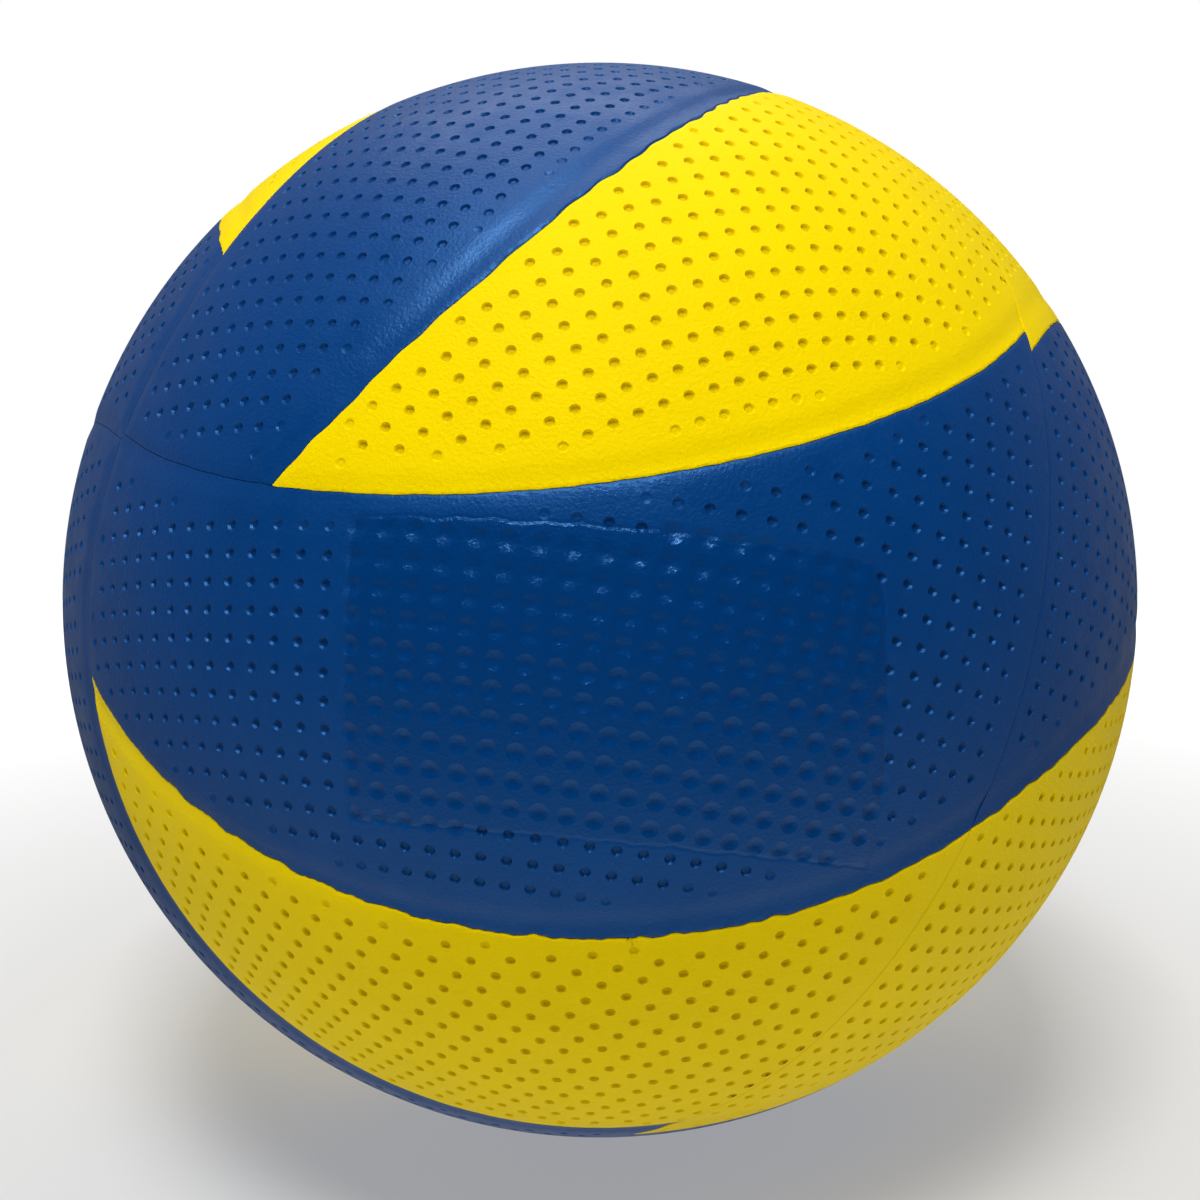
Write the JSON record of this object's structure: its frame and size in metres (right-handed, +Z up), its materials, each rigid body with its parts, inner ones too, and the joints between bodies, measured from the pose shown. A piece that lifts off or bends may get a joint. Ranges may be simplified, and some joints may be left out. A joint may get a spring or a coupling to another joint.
{
  "type": "volleyball",
  "caption": "Indoor volleyball: dimpled rubber cover of interlocking blue and yellow spiral panels over a wound carcass and bladder, with a needle valve.",
  "frame": {"origin": "centre of the ball", "axes": "+Z up, -Y towards the viewer of the picture, +Y out through the inflating valve at the back"},
  "size_m": [0.21, 0.2099, 0.21],
  "materials": {
    "yellow_cover": "satin cellular rubber, fine dimples",
    "blue_cover": "semi-gloss cellular rubber, fine dimples",
    "carcass": "matt vulcanised rubber",
    "winding": "wound nylon thread set in latex",
    "bladder": "matt black butyl",
    "valve_patch": "matt rubber",
    "valve_seat": "satin rubber",
    "valve_core": "satin soft rubber"
  },
  "bodies": {
    "root": {"yellow_panel_1_front": "yellow_cover", "yellow_panel_2_front": "yellow_cover", "yellow_panel_3_front": "yellow_cover", "yellow_panel_4_front": "yellow_cover", "blue_panel_1_front": "blue_cover", "blue_panel_2_front": "blue_cover", "blue_panel_3_front": "blue_cover", "blue_panel_4_front": "blue_cover", "yellow_panel_1_back": "yellow_cover", "yellow_panel_2_back": "yellow_cover", "yellow_panel_3_back": "yellow_cover", "yellow_panel_4_back": "yellow_cover", "blue_panel_1_back": "blue_cover", "blue_panel_2_back": "blue_cover", "blue_panel_3_back": "blue_cover", "blue_panel_4_back": "blue_cover", "carcass": "carcass", "winding": "winding", "bladder": "bladder", "valve_patch": "valve_patch", "valve_seat": "valve_seat", "valve_core": "valve_core"}
  },
  "joints": []
}
